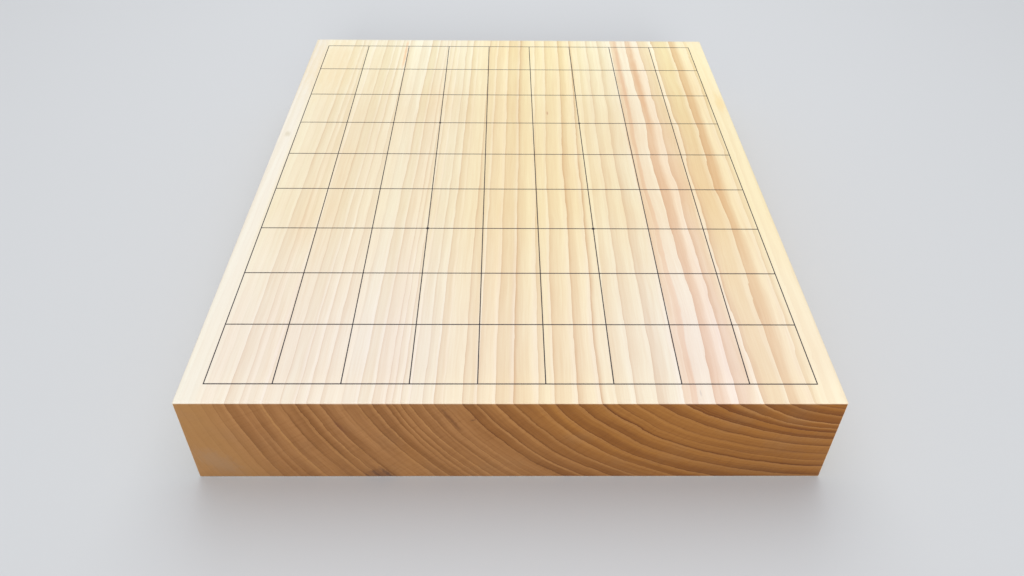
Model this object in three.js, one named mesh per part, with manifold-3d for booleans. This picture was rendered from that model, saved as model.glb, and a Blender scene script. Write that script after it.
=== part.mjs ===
// Desk shogi board in millimetres, +Z up, origin at the centre of the underside.
// The near player sits on the -Y side. A single plank carries the grid, which is raised black
// lacquer: file lines run away from the near player, rank lines were laid across them afterwards
// and lap over them, and four dots mark the promotion zones.
import * as THREE from "three";
import { mergeVertices } from "three/addons/utils/BufferGeometryUtils.js";
import Module from "manifold-3d";

// Plank, whose edges are rounded by the arris and whose upright corners by a little more
const boardWidth = 333;
const boardLength = 364;
const boardThickness = 64;
const arrisRadius = 0.8;
const cornerEase = 0.4;
const arrisSteps = 3;

// Grid, whose margins run from the plank's sides to the middle of the border lines
const squaresPerSide = 9;
const squaresToStar = 3;
const sideMargin = 12.15;
const endMargin = 11.45;

// Raised lacquer lines, domed like a drawn bead
const lineWidth = 0.58;
const lineHeight = 0.16;
const lapThickness = 0.09;
const lacquerGap = 0.02;
const lineDomeSteps = 4;

// Star dots, whose crown covers the crossing beneath by the star cover
const starDiameter = 2;
const starCover = 0.08;
const starDomeSteps = 12;
const starSides = 28;
const cutOverrun = 0.1;

// Sizes that follow from the ones above
const squareWidth = (boardWidth - 2 * sideMargin) / squaresPerSide;
const squareLength = (boardLength - 2 * endMargin) / squaresPerSide;
const lapUnderside = lineHeight + lacquerGap;
const starHeight = lapUnderside + lapThickness + lacquerGap + starCover;

const woodFinish = { color: "#ecd8ad", roughness: 0.55, metalness: 0 };
const lacquerFinish = { color: "#15151a", roughness: 0.25, metalness: 0 };

const wasm = await Module();
wasm.setup();

const board = new THREE.Group();

// Adds a named mesh with a material of its own at a place on the board.
function addPiece(name, geometry, finish, x = 0, y = 0, z = 0, turn = 0) {
  const mesh = new THREE.Mesh(geometry, new THREE.MeshStandardMaterial(finish));
  mesh.name = name;
  mesh.position.set(x, y, z);
  mesh.rotation.z = turn;
  board.add(mesh);
}

// Distance of a grid line from the board's middle, for lines counted from 0.
function gridPlace(line, squareSize) {
  return (line - squaresPerSide / 2) * squareSize;
}

// Points of a bead's dome from one edge to the other, an arc as wide and high as given.
function domePoints(width, height, steps) {
  const radius = (width * width / 4 + height * height) / (2 * height);
  const reach = Math.asin(width / 2 / radius);
  const points = [];
  for (let step = 0; step <= steps; step += 1) {
    const angle = reach * (2 * step / steps - 1);
    const lift = radius * Math.cos(angle) - radius + height;
    points.push(new THREE.Vector2(radius * Math.sin(angle), Math.max(lift, 0)));
  }
  return points;
}

// Closed skin over a row of rings that hold equally many points each, with both ends capped.
function skinOver(rings) {
  const ringSize = rings[0].length;
  const faces = [];
  for (let ring = 0; ring + 1 < rings.length; ring += 1) {
    for (let point = 0; point < ringSize; point += 1) {
      const here = ring * ringSize + point;
      const beside = ring * ringSize + (point + 1) % ringSize;
      faces.push(here, beside + ringSize, here + ringSize);
      faces.push(here, beside, beside + ringSize);
    }
  }
  const lastRing = (rings.length - 1) * ringSize;
  for (let point = 1; point + 1 < ringSize; point += 1) {
    faces.push(0, point + 1, point);
    faces.push(lastRing, lastRing + point, lastRing + point + 1);
  }
  const geometry = new THREE.BufferGeometry().setFromPoints(rings.flat());
  geometry.setIndex(faces);
  geometry.computeVertexNormals();
  return geometry;
}

// A bead of lacquer along X, centred on the origin, that laps over other lines at the given
// places. Growth makes it that much larger all round, and a foot reaches below the wood's face.
function lacquerBead(length, laps, growth = 0, foot = 0) {
  const tunnel = domePoints(lineWidth + 2 * (lacquerGap + growth), lapUnderside, lineDomeSteps);
  const stations = [{ x: -length / 2, lift: 0 }];
  for (const place of laps) {
    for (const point of tunnel) {
      stations.push({ x: place + point.x, lift: point.y });
    }
  }
  stations.push({ x: length / 2, lift: 0 });

  const rings = stations.map(({ x, lift }) => {
    const lapShare = lift / lapUnderside;
    const crown = lineHeight + (lapThickness - lineHeight) * lapShare + growth;
    const dome = domePoints(lineWidth + 2 * growth, crown, lineDomeSteps);
    const ring = dome.map((point) => new THREE.Vector3(x, -point.x, lift + point.y));
    if (foot > 0) {
      ring.push(new THREE.Vector3(x, -dome.at(-1).x, -foot));
      ring.push(new THREE.Vector3(x, -dome[0].x, -foot));
    }
    return ring;
  });
  return skinOver(rings);
}

// Closed geometry as a solid that can be cut.
function solidOf(geometry) {
  const bare = geometry.clone();
  bare.deleteAttribute("normal");
  bare.deleteAttribute("uv");
  const merged = mergeVertices(bare);
  const vertProperties = new Float32Array(merged.attributes.position.array);
  const triVerts = new Uint32Array(merged.index.array);
  return new wasm.Manifold(new wasm.Mesh({ numProp: 3, vertProperties, triVerts }));
}

// Geometry of a solid after it was cut.
function geometryOf(solid) {
  const { vertProperties, triVerts } = solid.getMesh();
  const geometry = new THREE.BufferGeometry();
  geometry.setAttribute("position", new THREE.BufferAttribute(vertProperties, 3));
  geometry.setIndex(new THREE.BufferAttribute(triVerts, 1));
  geometry.computeVertexNormals();
  return geometry;
}

// Plank with every edge rounded, standing on its underside.
function plankGeometry() {
  const cornerRadius = arrisRadius + cornerEase;
  const straightX = boardWidth / 2 - cornerRadius;
  const straightY = boardLength / 2 - cornerRadius;
  const outline = new THREE.Shape();
  outline.absarc(straightX, straightY, cornerRadius, 0, Math.PI / 2);
  outline.absarc(-straightX, straightY, cornerRadius, Math.PI / 2, Math.PI);
  outline.absarc(-straightX, -straightY, cornerRadius, Math.PI, 3 * Math.PI / 2);
  outline.absarc(straightX, -straightY, cornerRadius, 3 * Math.PI / 2, 2 * Math.PI);
  const geometry = new THREE.ExtrudeGeometry(outline, {
    depth: boardThickness - 2 * arrisRadius,
    bevelThickness: arrisRadius,
    bevelSize: arrisRadius,
    bevelOffset: -arrisRadius,
    bevelSegments: arrisSteps,
    curveSegments: arrisSteps,
  });
  return geometry.translate(0, 0, arrisRadius);
}

// Star dot over a crossing: a dome hollowed below by the two lines that it covers.
function starGeometry() {
  const dome = domePoints(starDiameter, starHeight, starDomeSteps);
  const rimToCrown = dome.slice(starDomeSteps / 2).reverse();
  const profile = [new THREE.Vector2(), ...rimToCrown];
  const bead = new THREE.LatheGeometry(profile, starSides).rotateX(Math.PI / 2);
  const cutLength = starDiameter + 2 * cutOverrun;
  const acrossCut = lacquerBead(cutLength, [0], lacquerGap, cutOverrun);
  const alongCut = lacquerBead(cutLength, [], lacquerGap, cutOverrun).rotateZ(Math.PI / 2);
  return geometryOf(solidOf(bead).subtract(solidOf(acrossCut)).subtract(solidOf(alongCut)));
}

addPiece("board_slab", plankGeometry(), woodFinish);

// The border is drawn as a frame, whose rank lines hold the corners. Inner lines end on it.
const buttedLoss = lineWidth + 2 * lacquerGap;
const borderRankLength = squaresPerSide * squareWidth + lineWidth;
const innerRankLength = squaresPerSide * squareWidth - buttedLoss;
const fileLength = squaresPerSide * squareLength - buttedLoss;

const innerFilePlaces = [];
for (let line = 1; line < squaresPerSide; line += 1) {
  innerFilePlaces.push(gridPlace(line, squareWidth));
}

for (let line = 0; line <= squaresPerSide; line += 1) {
  const label = String(line + 1).padStart(2, "0");
  const onBorder = line === 0 || line === squaresPerSide;
  const x = gridPlace(line, squareWidth);
  const y = gridPlace(line, squareLength);
  const rankBead = onBorder
    ? lacquerBead(borderRankLength, [])
    : lacquerBead(innerRankLength, innerFilePlaces);
  addPiece(`file_line_${label}`, lacquerBead(fileLength, []), lacquerFinish,
    x, 0, boardThickness, Math.PI / 2);
  addPiece(`rank_line_${label}`, rankBead, lacquerFinish, 0, y, boardThickness);
}

const starX = gridPlace(squaresPerSide - squaresToStar, squareWidth);
const starY = gridPlace(squaresPerSide - squaresToStar, squareLength);
addPiece("star_near_left", starGeometry(), lacquerFinish, -starX, -starY, boardThickness);
addPiece("star_near_right", starGeometry(), lacquerFinish, starX, -starY, boardThickness);
addPiece("star_far_left", starGeometry(), lacquerFinish, -starX, starY, boardThickness);
addPiece("star_far_right", starGeometry(), lacquerFinish, starX, starY, boardThickness);

export default board;
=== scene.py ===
"""Desk shogi board: one thick plank of pale conifer wood with a raised lacquer grid.

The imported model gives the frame: metres, +Z up through the playing surface, +Y away from the
near player, the origin at the centre of the underside. Every piece made here stands in for the
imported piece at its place. Sizes named "mm" are in millimetres, all others in metres.
"""

import logging
import math
from dataclasses import dataclass
from enum import Enum
from typing import Any, NamedTuple

import bpy
from mathutils import Matrix, Vector


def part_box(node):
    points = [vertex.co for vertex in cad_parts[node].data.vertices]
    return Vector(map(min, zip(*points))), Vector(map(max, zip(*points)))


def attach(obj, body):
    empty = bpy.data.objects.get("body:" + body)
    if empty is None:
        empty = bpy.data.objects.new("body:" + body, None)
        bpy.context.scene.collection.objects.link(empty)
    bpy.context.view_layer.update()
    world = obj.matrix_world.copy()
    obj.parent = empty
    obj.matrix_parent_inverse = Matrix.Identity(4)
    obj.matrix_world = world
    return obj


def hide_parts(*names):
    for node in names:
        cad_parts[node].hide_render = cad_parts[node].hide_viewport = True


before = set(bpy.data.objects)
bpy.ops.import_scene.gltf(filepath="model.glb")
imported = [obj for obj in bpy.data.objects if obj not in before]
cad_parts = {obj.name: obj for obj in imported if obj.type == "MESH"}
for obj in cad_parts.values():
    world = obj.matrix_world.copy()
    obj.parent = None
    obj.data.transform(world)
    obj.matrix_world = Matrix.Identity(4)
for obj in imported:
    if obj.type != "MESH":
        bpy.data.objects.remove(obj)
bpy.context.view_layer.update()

MM = 0.001
CUT_TOLERANCE = 0.0001 * MM
BODY = "root"
log = logging.getLogger("shogi_board")

Socket = bpy.types.NodeSocket
Tree = bpy.types.NodeTree
Piece = bpy.types.Object
Colour = tuple[float, float, float, float]
Triple = tuple[float, float, float]
Pair = tuple[float, float]
Points = tuple[Pair, ...]


class Run(Enum):
    """The direction in which a lacquer stroke was drawn over the board."""

    AWAY = "away from the near player"
    ACROSS = "from side to side"


class Cut(Enum):
    """The faces of the plank, and how each one lies on the flat sheet that its look is kept on.

    A row gives the direction that the face looks in, the plank's axes that run across the sheet and
    up it, where the face's lowest corner lies there, and how many texels a millimetre takes.
    """

    TOP = ((0, 0, 1), (0, 1), (0.004, 0.004), 2.1)
    UNDERSIDE = ((0, 0, -1), (0, 1), (0.755, 0.754), 0.66)
    NEAR_END = ((0, -1, 0), (0, 2), (0.004, 0.754), 1.93)
    FAR_END = ((0, 1, 0), (0, 2), (0.004, 0.879), 1.93)
    LEFT_SIDE = ((-1, 0, 0), (2, 1), (0.695, 0.004), 2.0)
    RIGHT_SIDE = ((1, 0, 0), (2, 1), (0.830, 0.004), 2.0)


def tone(*seen: float) -> Colour:
    """Turns red, green and blue on a screen, up to 255, into the light that a shader works with."""
    parts = [value / 255 for value in seen]
    return (*(p / 12.92 if p <= 0.04045 else ((p + 0.055) / 1.055) ** 2.4 for p in parts), 1.0)


class Signal:
    """A number, vector or colour in a shader, which is reckoned with like a plain number."""

    def __init__(self, bench: "Bench", socket: Socket) -> None:
        """Takes the bench of the shader's tree and the output socket."""
        self.bench = bench
        self.socket = socket

    def __add__(self, other: Any) -> "Signal":
        """Adds a number."""
        return self.bench.math("ADD", self, other)

    def __sub__(self, other: Any) -> "Signal":
        """Takes a number away."""
        return self.bench.math("SUBTRACT", self, other)

    def __mul__(self, other: Any) -> "Signal":
        """Multiplies by a number."""
        return self.bench.math("MULTIPLY", self, other)

    def __truediv__(self, other: Any) -> "Signal":
        """Divides by a number."""
        return self.bench.math("DIVIDE", self, other)

    def __pow__(self, other: float) -> "Signal":
        """Raises to a power."""
        return self.bench.math("POWER", self, other)

    def clamped(self) -> "Signal":
        """Keeps the last sum's result between 0 and 1."""
        self.socket.node.use_clamp = True
        return self

    def split(self) -> tuple["Signal", ...]:
        """Gives the X, Y and Z of a vector."""
        return tuple(Signal(self.bench, part) for part in self.bench.add("SeparateXYZ", self).outputs)

    def fade(self, start: Any, end: Any, low: float = 0.0, high: float = 1.0) -> "Signal":
        """Turns this number into a level that goes smoothly from low at the start to high at the end."""
        return self.bench.result("MapRange", self, start, end, low, high, interpolation_type="SMOOTHSTEP")

    def mixed(self, share: Any, colour: Any) -> "Signal":
        """Mixes another colour into this one."""
        return self.bench.blend(share, self, colour)

    def tinted(self, share: Any, tint: Any) -> "Signal":
        """Multiplies this colour by a tint."""
        return self.bench.blend(share, self, tint, "MULTIPLY")

    def curve(self, points: Points) -> "Signal":
        """Reads a number off straight lines between points.

        Args:
            points: Pairs of a number from 0 to 1 and what it becomes, from -1 to 1.

        Returns:
            What this number becomes.
        """
        node = self.bench.add("FloatCurve", 1.0, self)
        node.mapping.clip_min_y = -1.0
        line = node.mapping.curves[0]
        while len(line.points) < len(points):
            line.points.new(1.0, 1.0)
        for knot, place in zip(line.points, points):
            knot.location = place
            knot.handle_type = "VECTOR"
        node.mapping.update()
        return Signal(self.bench, node.outputs[0])

    def ramp(self, stops: tuple[tuple[float, Colour], ...]) -> "Signal":
        """Reads a colour off a row of colours.

        Args:
            stops: Pairs of a number from 0 to 1 and its colour, in rising order.

        Returns:
            The colour that this number stands for.
        """
        node = self.bench.add("ValToRGB", self)
        elements = node.color_ramp.elements
        while len(elements) < len(stops):
            elements.new(1.0)
        for element, (at, colour) in zip(elements, stops):
            element.position = at
            element.color = colour
        return Signal(self.bench, node.outputs[0])


class Bench:
    """Adds shader nodes to one node tree and joins them."""

    looks = ("Is Camera Ray", "Is Glossy Ray", "Is Transmission Ray")

    # Where a Mix node keeps its two colours and the mixed one
    plain_input, changed_input, mixed_output = 6, 7, 2

    def __init__(self, tree: Tree) -> None:
        """Takes the tree that the nodes go into."""
        self.tree = tree

    def feed(self, socket: Socket, value: Any) -> None:
        """Joins a socket to a signal, or sets the constant that it holds.

        Args:
            socket: The input socket.
            value: A signal, a number, a vector or a colour.
        """
        if isinstance(value, Signal):
            self.tree.links.new(value.socket, socket)
        else:
            socket.default_value = value

    def add(self, kind: str, *inputs: Any, by_name: dict[str, Any] | None = None,
            **settings: Any) -> bpy.types.Node:
        """Adds a node.

        Args:
            kind: The node's type without its common prefix, such as TexNoise.
            *inputs: What its first inputs are fed, in order.
            by_name: What other inputs are fed.
            **settings: Properties of the node.

        Returns:
            The new node.
        """
        prefix = "" if kind.startswith("NodeGroup") else "ShaderNode"
        node = self.tree.nodes.new(prefix + kind)
        for name, value in settings.items():
            setattr(node, name, value)
        for socket, value in zip(node.inputs, inputs):
            self.feed(socket, value)
        for name, value in (by_name or {}).items():
            self.feed(node.inputs[name], value)
        return node

    def result(self, kind: str, *inputs: Any, **settings: Any) -> Signal:
        """Adds a node and gives its first output."""
        return Signal(self, self.add(kind, *inputs, **settings).outputs[0])

    def math(self, operation: str, *values: Any) -> Signal:
        """Adds a Math node for an operation, named as in Blender."""
        return self.result("Math", *values, operation=operation)

    def vector(self, operation: str, *values: Any) -> Signal:
        """Adds a Vector Math node, which gives a number for a length and a vector otherwise."""
        node = self.add("VectorMath", *values, operation=operation)
        return Signal(self, node.outputs["Value" if operation == "LENGTH" else "Vector"])

    def join(self, *parts: Any) -> Signal:
        """Gives the vector with these three parts."""
        return self.result("CombineXYZ", *parts)

    def blend(self, share: Any, plain: Any, changed: Any, how: str = "MIX") -> Signal:
        """Mixes two colours.

        Args:
            share: How much of the changed colour shows, from 0 to 1.
            plain: The colour where the share is 0.
            changed: The colour where the share is 1.
            how: The way of mixing, named as in Blender.

        Returns:
            The mixed colour.
        """
        node = self.add("Mix", share, data_type="RGBA", blend_type=how, clamp_factor=True)
        self.feed(node.inputs[self.plain_input], plain)
        self.feed(node.inputs[self.changed_input], changed)
        return Signal(self, node.outputs[self.mixed_output])

    def cloud(self, place: Signal, grain_mm: Triple, detail: float = 2.0, shift: float = 0.0) -> Signal:
        """Adds smooth noise that is centred on zero.

        Args:
            place: Where it is read, in millimetres.
            grain_mm: The size of one cloud along X, Y and Z.
            detail: How many finer layers it has.
            shift: A number that makes it differ from other noise.

        Returns:
            A number from about -1 to 1.
        """
        scaled = self.vector("MULTIPLY", place, tuple(1 / size for size in grain_mm))
        fed = {"Vector": scaled, "W": shift, "Scale": 1.0, "Detail": detail}
        return self.result("TexNoise", by_name=fed, noise_dimensions="4D") * 2.0 + -1.0

    def relief(self, height: Signal, depth: float) -> Signal:
        """Adds a Bump node, for which a height of 1 is as high as the depth in metres."""
        return self.result("Bump", by_name={"Distance": depth, "Height": height})

    def seen(self) -> Signal:
        """Gives the share by which a place is looked at, and doesn't only light other things."""
        rays = [Signal(self, ray) for ray in self.add("LightPath").outputs if ray.name in self.looks]
        return (rays[0] + rays[1] + rays[2]).clamped()


class Effect:
    """A node group, built once."""

    title = "effect"
    takes: dict[str, str] = {}

    def __init__(self) -> None:
        """Makes the group with its sockets and fills it."""
        self.tree = bpy.data.node_groups.new(self.title, "ShaderNodeTree")
        for name, kind in self.takes.items():
            self.tree.interface.new_socket(name, in_out="INPUT", socket_type="NodeSocket" + kind)
        self.bench = Bench(self.tree)
        entry = self.bench.add("NodeGroupInput").outputs
        self.given = [Signal(self.bench, entry[name]) for name in self.takes]
        gives = self.fill()
        for name in gives:
            self.tree.interface.new_socket(name, in_out="OUTPUT", socket_type="NodeSocketFloat")
        self.bench.add("NodeGroupOutput", *gives.values())

    def fill(self) -> dict[str, Signal]:
        """Adds the group's nodes and gives its outputs by name."""
        raise NotImplementedError

    def use(self, bench: Bench, *inputs: Any) -> dict[str, Signal]:
        """Places the group in a tree, with its inputs in order, and gives its outputs by name."""
        node = bench.add("Group", *inputs, node_tree=self.tree)
        return {output.name: Signal(bench, output) for output in node.outputs}


class GrowthRing(NamedTuple):
    """One growth ring, from its edge on the bark's side inwards, with its traits in hundredths."""

    at_mm: float
    """Where its edge meets the near upper edge, from the left."""
    line: float
    """How dark the line along its edge is on the planed faces."""
    band: float
    """How dark the soft band behind that line is there."""
    end: float
    """How dark it is on the two ends."""
    lasts: float
    """How much of the ring the dark band takes up."""
    flash: float
    """How bright the early wood is just before the next ring's edge."""
    blush: float
    """How rosy its wood is, or how grey and pale below zero."""


@dataclass(frozen=True)
class Trunk:
    """How the plank lay in its trunk, whose rings are slightly oval, seen on the near end."""

    width_mm: float = 333.0
    length_mm: float = 364.0
    thickness_mm: float = 64.0
    pith_right_mm: float = 445.5
    pith_above_mm: float = 218.0
    oval_turn: float = math.radians(46.2)
    oval_share: float = 0.668
    rings: tuple[GrowthRing, ...] = tuple(GrowthRing(*row) for row in (
        (-24, 0, 0, 0, 50, 0, 0), (-20.5, 20, 25, 8, 60, 0, 20), (-17, 15, 16, 6, 40, 10, 0),
        (-13.5, 20, 26, 8, 50, 0, 30), (-9.5, 10, 20, 6, 70, 10, -20), (-6, 20, 26, 8, 40, 0, 20),
        (-2.5, 10, 10, 5, 50, 0, 0), (2.5, 5, 5, 4, 50, 0, 10), (8, 5, 7, 6, 60, 0, 0),
        (14, 10, 6, 10, 50, 0, 20), (19.5, 10, 8, 22, 60, 30, 0), (25.5, 50, 26, 45, 70, 0, 10),
        (32.6, 35, 24, 15, 50, 10, 30), (36.2, 10, 20, 38, 40, 80, 10), (43.6, 10, 13, 18, 100, 0, 20),
        (52.5, 55, 22, 36, 90, 60, 0), (60.3, 35, 20, 65, 60, 50, 15), (65.8, 40, 20, 40, 30, 30, 10),
        (72.3, 45, 15, 50, 40, 10, 15), (83, 20, 8, 12, 60, 50, -45), (91, 45, 25, 45, 85, 50, 0),
        (97.8, 35, 22, 55, 60, 20, 30), (104.8, 50, 15, 50, 40, 50, 30), (107.6, 35, 20, 45, 40, 50, 20),
        (111.4, 40, 25, 45, 35, 60, 20), (116, 15, 10, 35, 80, 20, -40), (122.2, 50, 20, 40, 40, 50, -30),
        (127.8, 50, 40, 35, 70, 10, 30), (132.3, 10, 6, 12, 90, 10, 15), (141.7, 75, 28, 80, 85, 55, 25),
        (149, 35, 30, 50, 50, 35, 40), (158.2, 50, 40, 60, 95, 55, 30), (167.4, 100, 26, 38, 50, 40, 10),
        (179.4, 45, 15, 55, 55, 40, 0), (187.4, 55, 28, 70, 55, 35, 10), (199.4, 70, 45, 55, 40, 40, 20),
        (210.9, 100, 30, 90, 20, 10, 10), (218.5, 10, 28, 30, 40, 20, 0), (227.8, 50, 25, 32, 50, 15, 0),
        (239, 45, 40, 60, 30, 50, -50), (252.3, 15, 35, 100, 100, 0, 50), (255, 0, 65, 100, 100, 0, 55),
        (257.6, 10, 5, 20, 30, 20, -60), (266.2, 40, 68, 100, 50, 60, 45), (277.6, 50, 50, 60, 70, 60, 15),
        (289, 60, 45, 75, 90, 30, 20), (302.6, 40, 85, 75, 42, 30, 45), (316.6, 40, 25, 50, 30, 0, 0),
        (324, 0, 15, 20, 40, 0, 0), (331, 0, 10, 25, 50, 0, 0), (345, 10, 10, 25, 50, 0, 0),
    ))


class GrowthRings(Effect):
    """Rings around the trunk's pith, read at any place in the plank."""

    title = "growth rings"
    takes = {"Place": "Vector"}

    # How far the rings move to the right over the plank's length, in shares of the most that they
    # do, and how far they stray from their ovals with every millimetre down, at places from the left
    most_lean_mm = 10.0
    leans = ((0, 0.7), (50, 0.94), (205, 0.86), (228, 0.4), (240, 0.24), (262, 0.1), (282, -0.15),
             (303, 0.18), (333, 0.25))
    strays = ((0, 0), (20, 0), (45, -0.03), (62, -0.055), (90, -0.04), (105, 0), (145, -0.01),
              (160, 0), (180, 0.075), (200, 0.06), (220, 0.04), (240, 0.04), (250, 0.09), (262, 0.3),
              (272, 0.7), (285, 0.95), (333, 1))
    usual_radius_mm = 300.0
    slow_mm = 1.3
    middling_mm = 1.2
    fibre_mm = 0.22
    fibre_share = 0.07
    patchiness = 0.4
    line_sharpness = 7.0
    before_late_end = 0.2
    after_late_end = 0.25
    flash_rise = (0.68, 0.95)

    def __init__(self, trunk: Trunk) -> None:
        """Takes the trunk that the plank was sawn from."""
        self.trunk = trunk
        super().__init__()

    def fill(self) -> dict[str, Signal]:
        """Finds the ring at a place.

        Returns:
            What is known of the ring there, by name.
        """
        bench, trunk, (place,) = self.bench, self.trunk, self.given
        x, y, z = place.split()
        from_left = x + trunk.width_mm / 2
        run = y * (1 / trunk.length_mm) + 0.5
        leans = [(at / trunk.width_mm, lean) for at, lean in self.leans]
        lean = run * ((from_left / trunk.width_mm).curve(leans) * self.most_lean_mm)

        cosine, sine = math.cos(trunk.oval_turn), math.sin(trunk.oval_turn)
        squash = trunk.oval_share ** 2
        across = from_left - lean - trunk.pith_right_mm
        below = z * -1.0 + (trunk.thickness_mm + trunk.pith_above_mm)
        long_way = across * cosine + below * sine
        short_way = across * -sine + below * cosine
        distance = bench.math("SQRT", long_way * long_way + short_way * short_way * squash)

        # The rings wander off their ovals in slow and quick waves, and the fibres fray them.
        slow = bench.cloud(place, (80, 170, 80), 1, 3.1)
        middling = bench.cloud(place, (26, 80, 26), 1, 7.7)
        quick = bench.cloud(place, (5, 17, 5), 2, 12.4)
        fibres = bench.cloud(place, (1.1, 26, 1.1), 2, 41)
        swing = from_left.fade(130, 250, 0.45, 1) * from_left.fade(285, 325, 1, 0.4)
        ripple = quick * from_left.fade(270, 320, 0.5, 0.2)
        waves = (middling * self.middling_mm + slow * self.slow_mm) * swing + ripple
        waved = fibres * self.fibre_mm + waves + distance

        # The ring is followed back to the near upper edge, by solving its oval for that edge.
        a = cosine ** 2 + squash * sine ** 2
        b = trunk.pith_above_mm * sine * cosine * (1 - squash)
        c = trunk.pith_above_mm ** 2 * (sine ** 2 + squash * cosine ** 2)
        inside = waved * waved * a + (b * b - a * c)
        root = bench.math("SQRT", bench.math("MAXIMUM", inside, 0.0))
        surface = root * (-1 / a) + (trunk.pith_right_mm - b / a)
        strays = [(at / trunk.width_mm, stray) for at, stray in self.strays]
        surface = (below - trunk.pith_above_mm) * (surface / trunk.width_mm).curve(strays) + surface

        first, last = trunk.rings[0].at_mm, trunk.rings[-1].at_mm
        count = len(trunk.rings) - 1
        places = [((ring.at_mm - first) / (last - first), i / count) for i, ring in enumerate(trunk.rings)]
        rings = ((surface - first) / (last - first)).clamped().curve(places) * count
        share = bench.math("FRACT", rings)
        middle = bench.math("FLOOR", rings) * (1 / count) + 0.5 / count

        def told(trait: str) -> Signal:
            """Adds what the list of rings tells about the ring at this place."""
            return middle.curve([((i + 0.5) / count, getattr(ring, trait) / 100)
                                 for i, ring in enumerate(trunk.rings[:-1])])

        # The dark part of a ring starts sharply and ends softly, where the fibres mingle.
        mingled = fibres * self.fibre_share + share
        lasts = told("lasts")
        patches = bench.cloud(place, (24, 110, 24), 1, 31) * self.patchiness + 1
        return {
            "Late Wood": mingled.fade(lasts - self.before_late_end, lasts + self.after_late_end, 1, 0),
            "Late Line": bench.math("SUBTRACT", 1.0, share) ** self.line_sharpness,
            "Flash": (mingled.fade(*self.flash_rise) * told("flash") * patches).clamped(),
            "Fading": mingled.fade(0, 0.9, 1, 0),
            "Line Depth": (told("line") * patches).clamped(),
            "Band Depth": (told("band") * patches).clamped(),
            "End Depth": (told("end") * patches).clamped(),
            "Blush": told("blush"),
            "Surface Place": surface,
            "Round": bench.math("ARCTAN2", short_way, long_way) * self.usual_radius_mm,
        }


class FibreStreaks(Effect):
    """Fine streaks that run with the grain and follow the rings."""

    title = "fibre streaks"
    takes = {"Place": "Vector", "Surface Place": "Float", "Width": "Float", "Length": "Float"}
    change_downwards = 0.03

    def fill(self) -> dict[str, Signal]:
        """Draws noise out along the trunk.

        Returns:
            The streaks, around zero.
        """
        place, surface, width, length = self.given
        x, y, z = place.split()
        stretched = self.bench.join(surface / width, y / length, z * self.change_downwards)
        return {"Streak": self.bench.cloud(stretched, (1, 1, 1), 2, 5)}


class SoftSpot(Effect):
    """A soft oval spot around a place, which may lean over as it goes down."""

    title = "soft spot"
    takes = {"Place": "Vector", "Centre": "Vector", "Reach": "Vector", "Lean": "Float"}
    raggedness = 0.5

    def fill(self) -> dict[str, Signal]:
        """Fades out with the distance from the centre, with a ragged rim.

        Returns:
            The spot, 1 at its centre.
        """
        place, centre, reach, lean = self.given
        x, y, z = self.bench.vector("SUBTRACT", place, centre).split()
        leaned = self.bench.join(z * lean + x, y, z)
        distance = self.bench.vector("LENGTH", self.bench.vector("DIVIDE", leaned, reach))
        ragged = self.bench.cloud(place, (1.6, 9, 3), 3, 9) * self.raggedness + distance
        return {"Spot": ragged.fade(0.15, 1, 1, 0)}


class Handling(Effect):
    """The uneven sheen that hands and cloths leave on every finish."""

    title = "handling"
    takes = {"Place": "Vector", "Patch Size": "Float"}
    wipe_weight = 0.35

    def fill(self) -> dict[str, Signal]:
        """Lays fine wipe marks over broad patches.

        Returns:
            The haze, from 0 to 1.
        """
        place, size = self.given
        scaled = self.bench.vector("DIVIDE", place, self.bench.join(size, size, size))
        patches = self.bench.cloud(scaled, (1, 1, 1), 3, 1)
        wipes = self.bench.cloud(place, (3, 40, 3), 3, 2)
        return {"Haze": (wipes * self.wipe_weight + patches).fade(-0.6, 0.6)}


@dataclass(frozen=True)
class Mark:
    """A mark in the wood that isn't part of the ring pattern."""

    centre_mm: Triple
    reach_mm: Triple
    colour: Colour
    weight: float
    lean: float = 0.0


class Grain:
    """What the wood shows at a place: its rings and its broad, middling and fine fibre streaks."""

    streaks_mm = ((5.5, 130), (2.2, 70), (0.75, 24))

    def __init__(self, bench: Bench, place: Signal, trunk: Trunk) -> None:
        """Adds the groups that find the grain.

        Args:
            bench: Where the nodes go.
            place: The place in millimetres.
            trunk: The plank's trunk.
        """
        self.bench = bench
        self.place = place
        self.trunk = trunk
        self.rings = GrowthRings(trunk).use(bench, place)
        self.surface = self.rings["Surface Place"]
        self.over = self.surface / trunk.width_mm
        group = FibreStreaks()
        self.streaks = [group.use(bench, place, self.surface, *size)["Streak"] for size in self.streaks_mm]

    def ramp(self, *stops: tuple[float, Colour]) -> Signal:
        """Reads a colour off a row of colours, whose places are millimetres from the left."""
        return self.over.ramp([(at / self.trunk.width_mm, shade) for at, shade in stops])


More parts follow.
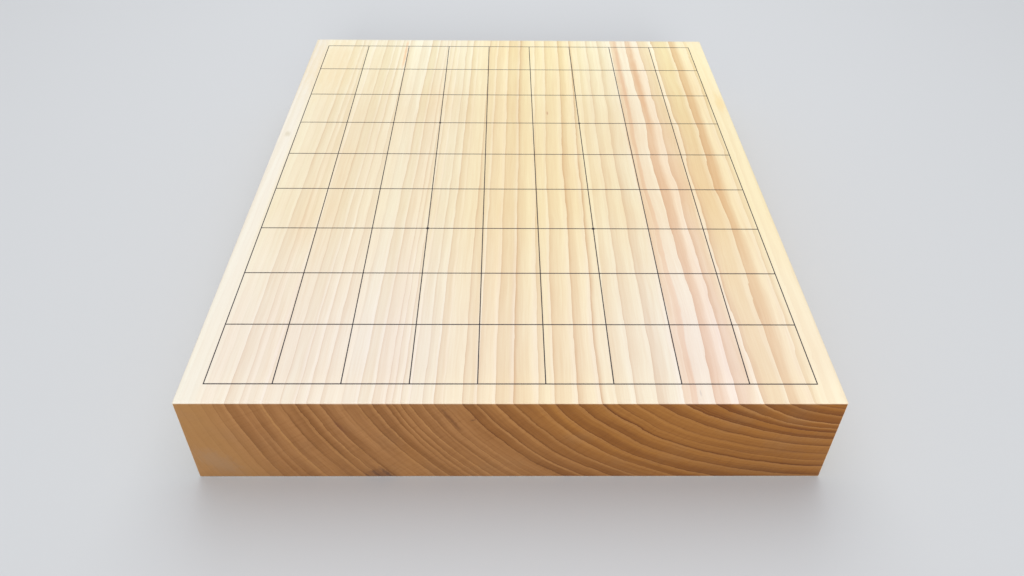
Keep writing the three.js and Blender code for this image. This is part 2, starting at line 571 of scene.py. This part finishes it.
@dataclass(frozen=True)
class FaceGrain:
    """Long grain as planed faces show it: pale bands that fade towards the trunk's middle."""

    sapwood: Colour = tone(243, 238, 224)
    pale: Colour = tone(250, 245, 225)
    cream: Colour = tone(250, 243, 216)
    golden: Colour = tone(252, 243, 208)
    rosy: Colour = tone(253, 243, 223)
    honey: Colour = tone(254, 246, 212)
    right_sapwood: Colour = tone(255, 247, 216)
    flash: Colour = tone(255, 251, 242)
    rosy_tint: Colour = (1.0, 0.93, 0.95, 1.0)
    ashen: Colour = tone(248, 248, 238)
    late_tint: Colour = (0.84, 0.69, 0.59, 1.0)
    ashen_late_tint: Colour = (0.81, 0.72, 0.63, 1.0)
    line_tint: Colour = (0.76, 0.6, 0.52, 1.0)
    streak_tint: Colour = (0.9, 0.8, 0.72, 1.0)
    warm_tint: Colour = (0.99, 0.95, 0.9, 1.0)
    far_late_tint: Colour = (0.84, 0.76, 0.54, 1.0)
    side_tint: Colour = (1.0, 0.945, 0.86, 1.0)
    # Painted light and shade along the length, from the near edge to the far end: these tints brighten the
    # ends and darken and yellow the middle in place of the lamps' fall-off and sheen
    painted_front_light: Colour = (0.97, 0.95, 0.99, 1.0)
    painted_near_light: Colour = (0.94, 0.915, 0.965, 1.0)
    painted_middle_shade: Colour = (0.935, 0.89, 0.8, 1.0)
    painted_far_light: Colour = (1.0, 1.0, 0.925, 1.0)
    painted_back_light: Colour = (1.0, 1.02, 1.0, 1.0)
    left_sapwood_mm: Pair = (8.0, 14.0)
    ashen_share: float = 0.6
    flash_share: float = 0.6
    roughness: float = 0.46

    # How much stronger the bands are in the far half, over the width, and around the middle of the
    # length on the right
    far_gain: Points = ((0, 0.4), (0.3, 0.4), (0.36, -0.08), (0.62, -0.08), (0.67, -0.22), (0.73, -0.22),
                        (0.78, 0), (1, 0))
    middle_gain: Points = ((0, 0), (0.25, 0), (0.45, 0.3), (0.7, 0.3), (0.9, 0), (1, 0))

    # How much each streak tints the wood, and how much that is everywhere
    streak_levels: Points = ((0.4, 0.14), (0.45, 0.16), (0.45, 0.12))

    def colour(self, grain: Grain) -> Signal:
        """Adds the colour of the long grain.

        Args:
            grain: What the wood shows at the place.

        Returns:
            The colour.
        """
        rings, surface, trunk = grain.rings, grain.surface, grain.trunk
        x, y, z = grain.place.split()
        along = y * (1 / trunk.length_mm) + 0.5
        blush = rings["Blush"]
        wood = grain.ramp((0, self.pale), (105, self.pale), (128, self.cream), (158, self.golden),
                          (206, self.golden), (228, self.cream), (248, self.cream), (258, self.rosy),
                          (281, self.rosy), (293, self.honey), (316, self.honey),
                          (324, self.right_sapwood), (333, self.right_sapwood))
        wood = wood.mixed((blush * -self.ashen_share).clamped(), self.ashen)
        wood = wood.mixed(rings["Flash"] * self.flash_share, self.flash)
        # Painted light and shade: the tints along the length brighten the near edge and the far end and
        # darken the middle, standing in for how the lamps and the sheen light the wood, not for a change
        # in the wood itself.
        painted_light_along = along.ramp([(0.0, self.painted_front_light), (0.02, self.painted_front_light), (0.06, self.painted_near_light),
                             (0.12, self.painted_near_light), (0.4, self.painted_middle_shade), (0.7, self.painted_middle_shade),
                             (0.95, self.painted_far_light), (1.0, self.painted_back_light)])
        wood = wood.tinted(1.0, painted_light_along)
        sapwood_end = (at - trunk.width_mm / 2 for at in self.left_sapwood_mm)
        wood = wood.mixed(x.fade(*sapwood_end, 1, 0), self.sapwood)
        drift = grain.bench.cloud(grain.place, (38, 120, 38), 2, 17)
        wood = wood.tinted(drift.fade(-0.1, 0.5), self.warm_tint)
        rosiness = (blush * along.fade(0.4, 0.95, 1, 0.5)).clamped()
        wood = wood.tinted(rosiness, self.rosy_tint)

        gain = grain.over.curve(self.far_gain) * along.fade(0.45, 0.8)
        gain = gain + along.curve(self.middle_gain) * surface.fade(245, 258) + 1
        depth = (rings["Band Depth"] * gain).clamped()
        late_tint = grain.bench.blend(surface.fade(110, 240), self.ashen_late_tint, self.late_tint)
        olive = along.fade(0.4, 0.9) * blush.fade(0.15, 0.45, 1, 0.15) * z.fade(50, 62)
        late_tint = late_tint.mixed(olive, self.far_late_tint)
        wood = wood.tinted(rings["Late Wood"] * depth, late_tint)
        wood = wood.tinted(rings["Late Line"] * rings["Line Depth"], self.line_tint)
        heartward = surface.fade(4, 30, 0.5, 1) * surface.fade(312, 326, 1, 0.45)
        for streak, (strength, level) in zip(grain.streaks, self.streak_levels):
            wood = wood.tinted((streak * strength + level) * heartward, self.streak_tint)
        return wood


@dataclass(frozen=True)
class EndGrain:
    """The cut ends, which drink the finish and turn honey brown with dark late rings."""

    sapwood: Colour = tone(168, 122, 70)
    middle: Colour = tone(169, 119, 70)
    golden: Colour = tone(167, 112, 48)
    heart: Colour = tone(161, 104, 36)
    grey: Colour = tone(160, 117, 75)
    late_tint: Colour = (0.56, 0.43, 0.185, 1.0)
    line_tint: Colour = (0.48, 0.36, 0.22, 1.0)
    ray_tint: Colour = (0.72, 0.62, 0.46, 1.0)
    bright: Colour = tone(187, 137, 82)
    fading_share: float = 0.35
    line_thinness: float = 2.0
    line_firmness: float = 0.65
    flash_share: float = 0.9
    ray_share: float = 0.34
    # How much painted light brightens the lower left and middle of the ends, and how much painted shade
    # darkens their lower right
    painted_low_light: float = 0.2
    painted_low_shade: float = 0.14
    roughness: float = 0.55

    # How much each streak darkens the wood, and how much that is everywhere
    streak_levels: Points = ((0.35, 0.1), (0.5, 0.1), (0.4, 0.08))

    def colour(self, grain: Grain) -> Signal:
        """Adds the colour of the end grain.

        Args:
            grain: What the wood shows at the place.

        Returns:
            The colour.
        """
        bench, rings, surface = grain.bench, grain.rings, grain.surface
        wood = grain.ramp((0, self.sapwood), (8, self.sapwood), (30, self.middle), (130, self.middle),
                          (185, self.golden), (240, self.golden), (262, self.heart), (333, self.heart))
        drift = bench.cloud(grain.place, (34, 80, 26), 2, 19)
        wood = wood.mixed(drift.fade(0, 0.6, 0, 0.7), self.grey)
        depth, late = rings["End Depth"], rings["Late Wood"]
        shade = (rings["Fading"] - late) * self.fading_share + late
        wood = wood.tinted(shade * depth, self.late_tint)
        line = rings["Late Line"] ** self.line_thinness * depth ** self.line_firmness
        wood = wood.tinted(line, self.line_tint)
        wood = wood.mixed(rings["Flash"] * self.flash_share, self.bright)

        # Painted light and shade: near the bottom of the ends the left and middle are lightened, to offset
        # the shade near the floor, and the right is darkened as painted shade.
        from_middle, _, height = grain.place.split()
        low = height.fade(40, 5)
        wood = wood.mixed(low * from_middle.fade(-20, 50, self.painted_low_light, 0), self.bright)
        wood = wood.tinted(low * from_middle.fade(60, 150, 0, self.painted_low_shade), self.late_tint)
        settled = surface.fade(14, 34, 0.3, 1)
        rays = bench.cloud(bench.join(rings["Round"], surface, 0), (1, 15, 1), 3, 23)
        wood = wood.tinted(rays.fade(-0.1, 0.45, 0, self.ray_share) * settled, self.ray_tint)
        for streak, (strength, level) in zip(grain.streaks, self.streak_levels):
            wood = wood.tinted((streak * strength + level) * settled, self.late_tint)
        return wood


class Finish:
    """A material made of nodes around one Principled shader."""

    def __init__(self, title: str) -> None:
        """Makes an empty material with its shader.

        Args:
            title: The material's name.
        """
        self.material = bpy.data.materials.new(title)
        self.material.use_nodes = True
        self.bench = Bench(self.material.node_tree)
        self.shader = self.material.node_tree.nodes["Principled BSDF"]
        reader = self.bench.add("TexCoord").outputs
        self.normal = Signal(self.bench, reader["Normal"])
        metres = Signal(self.bench, reader["Object"])
        self.place = self.bench.vector("MULTIPLY", metres, (1 / MM, 1 / MM, 1 / MM))

    def set(self, **values: Any) -> None:
        """Sets or joins the shader's sockets, with underscores for the spaces in their names."""
        for name, value in values.items():
            self.bench.feed(self.shader.inputs[name.replace("_", " ")], value)


class BoardWood(Finish):
    """Pale conifer wood, planed and lightly waxed, with its rings running through the plank."""

    relief_depth = 0.03 * MM
    patch_size_mm = 70.0
    haze_roughness = 0.08
    edge_roughness = -0.1
    late_height = 0.6
    pore_height = 0.5
    shine = 0.3
    face_marks = (
        Mark((-87.5, 158, 64), (1.7, 34, 5), tone(238, 178, 118), 0.55),
        Mark((28.5, 70, 64), (0.9, 3.4, 3), tone(176, 118, 92), 0.6),
        Mark((-160.5, 42, 64), (3, 5, 3), tone(205, 194, 165), 0.5),
        Mark((162.5, 85, 64), (5, 19, 4), tone(243, 208, 140), 0.4),
        Mark((94.2, -176, 64), (0.8, 3.6, 3), tone(196, 184, 180), 0.5),
        Mark((-146, 140, 64), (30, 75, 8), tone(238, 214, 170), 0.5),
        Mark((164, 182, 64), (22, 45, 8), tone(246, 224, 180), 0.5),
        Mark((90.8, 120, 64), (4, 95, 5), tone(222, 176, 138), 0.45),
        Mark((103.2, 115, 64), (3.6, 90, 5), tone(216, 158, 108), 0.4),
    )
    end_marks = (
        Mark((-69, -182, 2), (9, 4, 8), tone(104, 68, 50), 0.5, 0.6),
        Mark((-65.5, -182, 3), (2.4, 4, 8), tone(78, 48, 38), 0.6, 0.6),
        Mark((-71, -182, 2), (1.5, 4, 8), tone(82, 50, 38), 0.55, 0.6),
        Mark((-76, -182, 0.5), (1.6, 4, 6), tone(84, 52, 40), 0.45, 0.6),
        Mark((-86.5, -182, 45), (1.8, 4, 9.5), tone(112, 62, 34), 0.5, 0.5),
        Mark((-30.6, -182, 51.5), (1.7, 4, 15), tone(112, 68, 32), 0.75, 0.52),
        Mark((-19.3, -182, 50.5), (1.6, 4, 1.3), tone(100, 60, 34), 0.6, -0.8),
        Mark((133, -182, 23.5), (34, 4, 3), tone(120, 76, 40), 0.25),
        Mark((-153, -182, 14), (13, 4, 17), tone(158, 128, 100), 0.4, 0.6),
    )

    def __init__(self, trunk: Trunk, face: FaceGrain, end: EndGrain, handling: Handling) -> None:
        """Joins the long grain of the faces with the end grain of the two ends.

        Args:
            trunk: The plank's trunk.
            face: The long grain's finish.
            end: The end grain's finish.
            handling: The sheen that all finishes share.
        """
        super().__init__("board_wood")
        bench, grain = self.bench, Grain(self.bench, self.place, trunk)
        across, along, up = bench.vector("ABSOLUTE", self.normal).split()
        # The end-grain colour starts only well round the eased edges, so that the rounded edges of the
        # ends keep the pale long-grain colour: partly the wood's own colour, partly a painted highlight
        # along the arris.
        is_end = along.fade(0.6, 0.95)
        spot = SoftSpot()
        planed = face.colour(grain).tinted(across.fade(0.6, 0.95), face.side_tint)
        planed = self.marked(planed, spot, self.face_marks)
        sawn = self.marked(end.colour(grain), spot, self.end_marks)

        # The eased edges are smoother, and the wipes and patches of handling are a little rougher.
        haze = handling.use(bench, self.place, self.patch_size_mm)["Haze"]
        edge = bench.math("MAXIMUM", bench.math("MAXIMUM", across, along), up).fade(0.99, 0.8)
        rough = is_end * (end.roughness - face.roughness) + face.roughness
        rough = edge * self.edge_roughness + (haze * self.haze_roughness + rough)
        pores = bench.cloud(self.place, (0.35, 6, 0.35), 2, 21)
        height = grain.rings["Late Wood"] * self.late_height + grain.streaks[-1]
        height = pores * self.pore_height + height
        self.set(Base_Color=planed.mixed(is_end, sawn), Roughness=rough, Specular_IOR_Level=self.shine)
        self.set(Normal=bench.relief(height, self.relief_depth))

    def marked(self, wood: Signal, spot: SoftSpot, marks: tuple[Mark, ...]) -> Signal:
        """Adds marks to wood.

        Args:
            wood: The wood's colour.
            spot: The group that each mark is made with.
            marks: The marks.

        Returns:
            The marked wood's colour.
        """
        for mark in marks:
            stain = spot.use(self.bench, self.place, mark.centre_mm, mark.reach_mm, mark.lean)["Spot"]
            wood = wood.mixed(stain * mark.weight, mark.colour)
        return wood


class Lacquer(Finish):
    """Black lacquer that stands on the wood, brown where it thins out at its foot."""

    body = tone(20, 12, 30)
    thin = tone(58, 40, 32)
    relief_depth = 0.01 * MM
    patch_size_mm = 25.0
    haze_roughness = 0.15
    thin_share = 0.6
    shine = 0.34

    def __init__(self, title: str, handling: Handling, roughness: float, flow_mm: float) -> None:
        """Makes the lacquer.

        Args:
            title: The material's name.
            handling: The sheen that all finishes share.
            roughness: How matt it is.
            flow_mm: The size of the ripples that it set in.
        """
        super().__init__(title)
        haze = handling.use(self.bench, self.place, self.patch_size_mm)["Haze"]
        across, along, up = self.normal.split()
        colour = self.bench.blend(up.fade(0.75, 0.35) * self.thin_share, self.body, self.thin)
        ripples = self.bench.cloud(self.place, (flow_mm, flow_mm, flow_mm), 2, 4)
        rough = haze * self.haze_roughness + roughness
        self.set(Base_Color=colour, Roughness=rough, Specular_IOR_Level=self.shine)
        self.set(Normal=self.bench.relief(ripples, self.relief_depth))


class Shop:
    """The workshop's hand moves: what is done to pieces with Blender's operators."""

    @staticmethod
    def clear() -> None:
        """Deselects every object."""
        bpy.ops.object.select_all(action="DESELECT")

    @staticmethod
    def take(title: str) -> Piece:
        """Names the piece that was just added.

        Args:
            title: Its name.

        Returns:
            The piece.
        """
        piece = bpy.context.view_layer.objects.active
        piece.name = title
        piece.data.name = title
        return piece

    @staticmethod
    def hold(piece: Piece) -> None:
        """Makes one piece the only selected and the active one.

        Args:
            piece: The piece.
        """
        Shop.clear()
        piece.select_set(True)
        bpy.context.view_layer.objects.active = piece

    @staticmethod
    def pick_edges(piece: Piece, wanted: Any) -> None:
        """Selects the edges that pass a test, in edit mode.

        Args:
            piece: The piece, in edit mode.
            wanted: A test that takes the edge's two end points.
        """
        bpy.ops.mesh.select_mode(type="EDGE")
        bpy.ops.mesh.select_all(action="DESELECT")
        bpy.ops.object.mode_set(mode="OBJECT")
        points = piece.data.vertices
        for edge in piece.data.edges:
            edge.select = wanted(*(points[i].co for i in edge.vertices))
        bpy.ops.object.mode_set(mode="EDIT")

    @staticmethod
    def cut_below(closed: bool) -> None:
        """Cuts away what lies under z = 0, in edit mode, and selects all that is left.

        Args:
            closed: Whether the cut gets a face.
        """
        bpy.ops.mesh.select_all(action="SELECT")
        bpy.ops.mesh.bisect(plane_co=(0, 0, 0), plane_no=(0, 0, -1), use_fill=closed, clear_outer=True,
                            threshold=CUT_TOLERANCE)
        bpy.ops.mesh.select_all(action="SELECT")

    @staticmethod
    def settle(piece: Piece) -> None:
        """Puts the piece's place into its mesh, so that its object sits at the origin."""
        Shop.hold(piece)
        bpy.ops.object.transform_apply(location=True, rotation=True, scale=True)

    @staticmethod
    def copy(piece: Piece, title: str, place: Vector) -> Piece:
        """Copies a piece with a mesh of its own and sets it down elsewhere.

        Args:
            piece: The piece that is copied, which sits at the origin.
            title: The copy's name.
            place: How far the copy is moved.

        Returns:
            The copy.
        """
        Shop.hold(piece)
        bpy.ops.object.duplicate(linked=False)
        copy = Shop.take(title)
        bpy.ops.transform.translate(value=place)
        Shop.settle(copy)
        return copy

    @staticmethod
    def displace(piece: Piece, title: str, grain: float, strength: float, middle: float,
                 group: str = "") -> None:
        """Moves the surface in and out by clouds, and applies that to the mesh.

        Args:
            piece: The piece.
            title: The cloud texture's name.
            grain: The size of the clouds.
            strength: How far the surface moves.
            middle: The cloud level at which it doesn't move.
            group: The vertex group that moves, or all of the piece.
        """
        clouds = bpy.data.textures.get(title) or bpy.data.textures.new(title, "CLOUDS")
        clouds.noise_scale = grain
        Shop.hold(piece)
        modifier = piece.modifiers.new(title, "DISPLACE")
        modifier.texture = clouds
        modifier.texture_coords = "GLOBAL"
        modifier.strength = strength
        modifier.mid_level = middle
        modifier.vertex_group = group
        bpy.ops.object.modifier_apply(modifier=modifier.name)

    @staticmethod
    def hand_in(piece: Piece, node: str, slot: str, finish: Finish) -> None:
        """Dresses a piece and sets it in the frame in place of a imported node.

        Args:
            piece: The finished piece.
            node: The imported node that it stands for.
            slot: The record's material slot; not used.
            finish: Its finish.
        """
        piece.data.materials.clear()
        piece.data.materials.append(finish.material)
        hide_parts(node)
        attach(piece, BODY)
        log.info("%s stands for %s, with %d faces", piece.name, node, len(piece.data.polygons))


@dataclass
class Plank:
    """The board's one block of wood, with all of its edges eased by hand."""

    arris: float = 0.8 * MM
    upright_arris: float = 1.2 * MM
    rounding_steps: int = 4
    cuts_across: int = 36
    cuts_along: int = 40
    hand_wear: float = 0.12 * MM
    wear_grain: float = 20.0 * MM
    rim_share: float = 0.8
    smooth_angle: float = math.radians(24)
    sheet_texels: int = 1024
    top_favour: float = 0.01

    def __post_init__(self) -> None:
        """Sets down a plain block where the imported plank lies."""
        self.low, self.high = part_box("board_slab")
        self.span = self.high - self.low
        Shop.clear()
        bpy.ops.mesh.primitive_cube_add(size=1.0, location=(self.low + self.high) / 2, scale=self.span)
        self.piece = Shop.take("plank")
        Shop.settle(self.piece)

    def build(self) -> Piece:
        """Shapes the block.

        Returns:
            The plank, at its place.
        """
        bpy.ops.object.mode_set(mode="EDIT")
        tiny = self.arris / 100
        Shop.pick_edges(self.piece, lambda start, end: abs(start.z - end.z) > tiny)
        bpy.ops.mesh.bevel(offset=self.upright_arris, segments=self.rounding_steps, affect="EDGES")
        Shop.pick_edges(self.piece, lambda start, end: abs(start.z - end.z) < tiny)
        bpy.ops.mesh.bevel(offset=self.arris, segments=self.rounding_steps, affect="EDGES")
        self.cut_up()
        bpy.ops.object.mode_set(mode="OBJECT")
        self.wear()
        Shop.hold(self.piece)
        bpy.ops.object.shade_smooth_by_angle(angle=self.smooth_angle)
        self.lay_out()
        return self.piece

    def cut_up(self) -> None:
        """Cuts the open plank into strips, so that its edges can be worn unevenly."""
        for axis, cuts in ((0, self.cuts_across), (1, self.cuts_along)):
            normal = Vector((0, 0, 0))
            normal[axis] = 1
            reach = self.span[axis] / 2 - 2 * self.upright_arris
            for cut in range(cuts):
                bpy.ops.mesh.select_all(action="SELECT")
                bpy.ops.mesh.bisect(plane_co=normal * reach * (2 * cut / (cuts - 1) - 1), plane_no=normal)

    def on_rim(self, point: Vector) -> bool:
        """Tells whether a point is so near to two sides or more that it is on a rounded edge."""
        near = self.arris * self.rim_share
        return sum(min(point[i] - self.low[i], self.high[i] - point[i]) < near for i in range(3)) >= 2

    def wear(self) -> None:
        """Eases the rounded edges a little more here than there, always inwards."""
        group = self.piece.vertex_groups.new(name="arris")
        rim = [vertex.index for vertex in self.piece.data.vertices if self.on_rim(vertex.co)]
        group.add(rim, 1.0, "REPLACE")
        Shop.displace(self.piece, "hand wear", self.wear_grain, self.hand_wear, middle=1.0,
                      group=group.name)
        self.piece.vertex_groups.clear()

    def lay_out(self) -> None:
        """Lays the six sides out flat beside each other, with the top the largest."""
        mesh = self.piece.data
        layer = mesh.uv_layers.new(name="OFBake")
        for face in mesh.polygons:
            cut = max(Cut, key=lambda side: face.normal.dot(Vector(side.value[0]))
                      + self.top_favour * (side is Cut.TOP))
            _, axes, corner, texels_per_mm = cut.value
            step = texels_per_mm / MM / self.sheet_texels
            for loop in face.loop_indices:
                point = mesh.vertices[mesh.loops[loop].vertex_index].co - self.low
                layer.data[loop].uv = [start + point[axis] * step for start, axis in zip(corner, axes)]


@dataclass
class Stroke:
    """One drawn line of lacquer, a flat bead that laps over the lines that it crosses."""

    run: Run
    length: float
    width: float = 0.58 * MM
    height: float = 0.16 * MM
    lap_height: float = 0.27 * MM
    root: float = 0.01 * MM
    lap_reach: float = 0.56 * MM
    lap_steps: int = 4
    step: float = 6.0 * MM
    facets: int = 20
    smooth_angle: float = math.radians(50)
    laps: tuple[float, ...] = ()

    # Shares of the width in from each end, and of the height that the bead has there
    rounded_ends: Points = ((0.0, 0.35), (0.15, 0.8))

    def stations(self) -> list[Pair]:
        """Lists where the bead's outline changes along its length.

        Returns:
            Pairs of a place along the stroke and the bead's height there.
        """
        marks = {}
        for inset, share in self.rounded_ends:
            place = self.length / 2 - self.width * inset
            marks[place] = marks[-place] = share * self.height
        for lap in self.laps:
            for turn in range(-self.lap_steps, self.lap_steps + 1):
                share = turn / self.lap_steps
                lift = math.cos(share * math.pi / 2) ** 2
                marks[lap + share * self.lap_reach] = self.height + (self.lap_height - self.height) * lift
        steps = round(self.length / self.step)
        for number in range(1, steps):
            place = self.length * (number / steps - 0.5)
            if all(abs(place - mark) > self.step / 4 for mark in marks):
                marks[place] = self.height
        return sorted(marks.items())

    def build(self, title: str) -> Piece:
        """Models the stroke around the origin, on the plane z = 0.

        Args:
            title: Its name.

        Returns:
            The stroke.
        """
        stations = self.stations()
        place, height = stations[0]
        Shop.clear()
        bpy.ops.mesh.primitive_circle_add(vertices=self.facets, radius=self.width / 2, fill_type="NGON",
                                          location=(place, 0, 0), rotation=(0, math.pi / 2, 0))
        stroke = Shop.take(title)
        Shop.settle(stroke)
        bpy.ops.object.mode_set(mode="EDIT")
        Shop.cut_below(False)
        bpy.ops.transform.resize(value=(1, 1, (height + self.root) / (self.width / 2)),
                                 center_override=(place, 0, 0))
        bpy.ops.transform.translate(value=(0, 0, -self.root))
        bpy.ops.mesh.select_mode(type="FACE")
        bpy.ops.mesh.select_all(action="SELECT")
        for next_place, next_height in stations[1:]:
            bpy.ops.mesh.extrude_region_move(TRANSFORM_OT_translate={"value": (next_place - place, 0, 0)})
            change = (next_height + self.root) / (height + self.root)
            bpy.ops.transform.resize(value=(1, 1, change), center_override=(next_place, 0, -self.root))
            place, height = next_place, next_height
        bpy.ops.mesh.select_all(action="SELECT")
        bpy.ops.mesh.normals_make_consistent(inside=False)
        bpy.ops.object.mode_set(mode="OBJECT")
        if self.run is Run.AWAY:
            stroke.rotation_euler = (0, 0, math.pi / 2)
        Shop.settle(stroke)
        bpy.ops.object.shade_smooth_by_angle(angle=self.smooth_angle)
        return stroke


@dataclass
class Grid:
    """The twenty lacquer strokes and four dots on the playing surface."""

    line_lacquer: Lacquer
    star_lacquer: Lacquer
    lines: int = 10
    corners: tuple[str, ...] = ("near_left", "near_right", "far_left", "far_right")
    gap: float = 0.02 * MM
    unevenness: float = 0.03 * MM
    uneven_grain: float = 12.0 * MM
    dot_root: float = 0.01 * MM
    smooth_angle: float = math.radians(50)

    def build(self) -> None:
        """Models the strokes and dots once each, and copies them to their places."""
        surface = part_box("board_slab")[1].z
        numbers = range(1, self.lines + 1)
        files = [self.middle(f"file_line_{line:02d}").x for line in numbers]
        file_length = self.size("file_line_01").y + 2 * self.gap
        rank_length = self.size("rank_line_02").x + 2 * self.gap
        patterns = {
            "file": Stroke(Run.AWAY, file_length).build("file_pattern"),
            "rank": Stroke(Run.ACROSS, rank_length, laps=tuple(files[1:-1])).build("rank_pattern"),
            "border": Stroke(Run.ACROSS, self.size("rank_line_01").x).build("border_pattern"),
        }
        for line, x in zip(numbers, files):
            y = self.middle(f"rank_line_{line:02d}").y
            across = patterns["border" if line in (1, self.lines) else "rank"]
            for kind, pattern, place in (("file", patterns["file"], (x, 0, surface)),
                                         ("rank", across, (0, y, surface))):
                stroke = Shop.copy(pattern, f"{kind}_stroke_{line:02d}", Vector(place))
                Shop.displace(stroke, "drawn by hand", self.uneven_grain, self.unevenness, middle=0.5)
                Shop.hand_in(stroke, f"{kind}_line_{line:02d}", "line_lacquer", self.line_lacquer)
        for pattern in patterns.values():
            bpy.data.objects.remove(pattern)
        self.drop_stars(surface)

    def middle(self, node: str) -> Vector:
        """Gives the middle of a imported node's box."""
        low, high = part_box(node)
        return (low + high) / 2

    def size(self, node: str) -> Vector:
        """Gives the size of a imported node's box."""
        low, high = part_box(node)
        return high - low

    def drop_stars(self, surface: float) -> None:
        """Sets the four dots down on their crossings.

        Args:
            surface: The height of the playing surface.
        """
        radius = self.size("star_near_left").x / 2
        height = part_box("star_near_left")[1].z - surface + self.dot_root
        Shop.clear()
        bpy.ops.mesh.primitive_uv_sphere_add(segments=36, ring_count=20, radius=radius, location=(0, 0, 0))
        drop = Shop.take("star_pattern")
        bpy.ops.object.mode_set(mode="EDIT")
        bpy.ops.mesh.select_all(action="SELECT")
        bpy.ops.transform.resize(value=(1, 1, height / radius))
        Shop.cut_below(True)
        bpy.ops.mesh.normals_make_consistent(inside=False)
        bpy.ops.transform.translate(value=(0, 0, -self.dot_root))
        bpy.ops.object.mode_set(mode="OBJECT")
        bpy.ops.object.shade_smooth_by_angle(angle=self.smooth_angle)
        for corner in self.corners:
            place = self.middle(f"star_{corner}")
            star = Shop.copy(drop, f"star_drop_{corner}", Vector((place.x, place.y, surface)))
            Shop.hand_in(star, f"star_{corner}", "star_lacquer", self.star_lacquer)
        bpy.data.objects.remove(drop)


@dataclass
class Studio:
    """The plain pale floor, the soft light and the camera."""

    image_width: int = 1024
    image_height: int = 576
    focal_pixels: float = 783.84
    axis_row: float = 118.0
    pitch: float = math.radians(34.842)
    yaw: float = math.radians(0.804)
    roll: float = math.radians(0.718)
    camera_place: Triple = (-5.0 * MM, -417.4 * MM, 398.7 * MM)
    floor_tone: Colour = tone(211, 213, 216)
    mottle_tone: Colour = tone(205, 207, 210)
    backdrop_tone: Colour = tone(214, 216, 220)
    room_tone: Colour = tone(202, 203, 204)
    black: Colour = tone(0, 0, 0)
    mottle_share: float = 0.1
    mottle_mm: Triple = (900.0, 900.0, 900.0)
    backdrop_from_mm: Pair = (700.0, 2600.0)
    floor_reach: float = 60.0
    floor_drop: float = 0.2 * MM

    def build(self) -> None:
        """Sets the whole studio up."""
        self.set_camera()
        self.lay_floor()
        self.hang_lamps()
        bpy.context.scene.view_settings.view_transform = "Standard"

    def set_camera(self) -> None:
        """Places the camera where the photograph was taken from."""
        data = bpy.data.cameras.new("camera")
        camera = bpy.data.objects.new("camera", data)
        bpy.context.scene.collection.objects.link(camera)
        data.sensor_width = 36.0
        data.lens = self.focal_pixels / self.image_width * data.sensor_width
        data.shift_y = (self.axis_row - self.image_height / 2) / self.image_width
        data.clip_start = 0.01
        turn = Matrix.Rotation(-self.yaw, 4, "Z") @ Matrix.Rotation(math.pi / 2 - self.pitch, 4, "X")
        turn = turn @ Matrix.Rotation(self.roll, 4, "Z")
        camera.matrix_world = Matrix.Translation(self.camera_place) @ turn
        bpy.context.scene.camera = camera

    def lay_floor(self) -> None:
        """Lays the floor that the board stands on, which takes the backdrop's tone far off."""
        Shop.clear()
        bpy.ops.mesh.primitive_circle_add(vertices=128, radius=self.floor_reach, fill_type="NGON",
                                          location=(0, 0, -self.floor_drop))
        floor = Shop.take("floor")
        Shop.settle(floor)
        finish = Finish("floor_paint")
        bench = finish.bench
        mottle = bench.cloud(finish.place, self.mottle_mm, 2, 8)
        mottle = mottle * self.mottle_share + self.mottle_share
        colour = bench.blend(mottle, self.floor_tone, self.mottle_tone)
        far_off = bench.seen() * bench.vector("LENGTH", finish.place).fade(*self.backdrop_from_mm)
        finish.set(Base_Color=bench.blend(far_off, colour, self.black), Roughness=0.9)
        finish.set(Emission_Color=bench.blend(far_off, self.black, self.backdrop_tone))
        finish.set(Emission_Strength=1.0, Specular_IOR_Level=0.0)
        floor.data.materials.append(finish.material)

    def hang_lamps(self) -> None:
        """Hangs two soft boxes and lights the room evenly."""
        self.hang("soft_box_back", (0.0, 0.7, 1.5), size=1.6, power=6.4, spread=math.radians(120))
        self.hang("soft_box_front", (0.1, -2.6, 1.1), size=1.0, power=3.0, spread=math.radians(50))
        world = bpy.data.worlds.new("room")
        bpy.context.scene.world = world
        world.use_nodes = True
        bench = Bench(world.node_tree)
        shown = bench.blend(bench.seen(), self.room_tone, self.backdrop_tone)
        bench.feed(world.node_tree.nodes["Background"].inputs["Color"], shown)

    def hang(self, title: str, place: Triple, size: float, power: float, spread: float) -> None:
        """Hangs a square soft box that looks at the board.

        Args:
            title: The lamp's name.
            place: Where it hangs.
            size: The length of its sides.
            power: Its power in watts.
            spread: The angle over which its grid lets the light out.
        """
        data = bpy.data.lights.new(title, "AREA")
        data.size = size
        data.energy = power
        data.spread = spread
        lamp = bpy.data.objects.new(title, data)
        bpy.context.scene.collection.objects.link(lamp)
        lamp.location = place
        lamp.rotation_euler = (-Vector(place)).to_track_quat("-Z", "Y").to_euler()


def main() -> None:
    """Builds the board and its studio, piece by piece."""
    logging.basicConfig(level=logging.INFO, format="%(message)s")
    handling = Handling()
    wood = BoardWood(Trunk(), FaceGrain(), EndGrain(), handling)
    line_lacquer = Lacquer("line_lacquer", handling, roughness=0.24, flow_mm=1.5)
    star_lacquer = Lacquer("star_lacquer", handling, roughness=0.16, flow_mm=0.9)
    Shop.hand_in(Plank().build(), "board_slab", "board_wood", wood)
    Grid(line_lacquer, star_lacquer).build()
    Studio().build()


if __name__ == "__main__":
    main()
